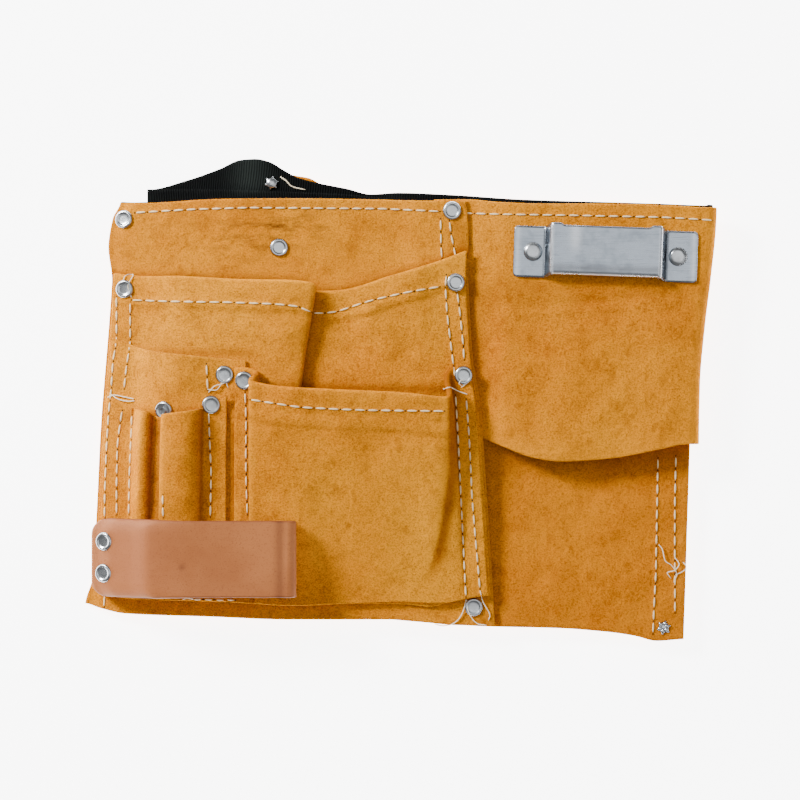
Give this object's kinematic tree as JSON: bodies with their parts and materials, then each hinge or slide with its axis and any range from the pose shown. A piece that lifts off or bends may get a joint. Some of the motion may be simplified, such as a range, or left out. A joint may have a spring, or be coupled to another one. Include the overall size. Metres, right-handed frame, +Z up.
{
  "type": "carpenter nail apron",
  "caption": "Split-leather nail apron with layered pockets, tool slots, hammer loop and steel tape clip, folded in half and lying flat with its webbing belt folded behind.",
  "frame": {"origin": "on the surface the apron lies on, under the centre of the folded apron's box", "axes": "+X along the waist edge towards the folded side, +Y up the pouch towards the waist edge, +Z up from the surface"},
  "size_m": [0.3364, 0.2561, 0.0378],
  "materials": {
    "suede": "matt golden-tan split leather with a short nap",
    "strap_leather": "smooth brown vegetable-tanned leather",
    "webbing": "woven black webbing with fine cross ribs",
    "clasp_plastic": "plain black",
    "clip_steel": "dull zinc plating",
    "rivet_nickel": "bright nickel plating"
  },
  "bodies": {
    "root": {"pouch_backing": "suede", "upper_pocket": "suede", "middle_pocket": "suede", "tool_slot_panel": "suede", "main_pocket": "suede", "rear_pouch_backing": "suede", "rear_upper_pocket": "suede", "rear_main_pocket": "suede", "centre_panel": "suede", "hammer_loop": "strap_leather", "waist_belt": "webbing", "belt_clasp": "clasp_plastic", "tape_clip": "clip_steel", "rivet_waist_outer": "rivet_nickel", "rivet_waist_inner": "rivet_nickel", "rivet_waist_middle": "rivet_nickel", "rivet_upper_outer": "rivet_nickel", "rivet_upper_inner": "rivet_nickel", "rivet_main_inner": "rivet_nickel", "rivet_middle_corner": "rivet_nickel", "rivet_main_outer": "rivet_nickel", "rivet_slot_seam": "rivet_nickel", "rivet_slot_outer": "rivet_nickel", "rivet_loop_upper": "rivet_nickel", "rivet_loop_lower": "rivet_nickel", "rivet_hem_inner": "rivet_nickel", "rivet_clip_inner": "rivet_nickel", "rivet_clip_outer": "rivet_nickel", "rivet_rear_waist": "rivet_nickel", "rivet_rear_hem": "rivet_nickel"}
  },
  "joints": []
}
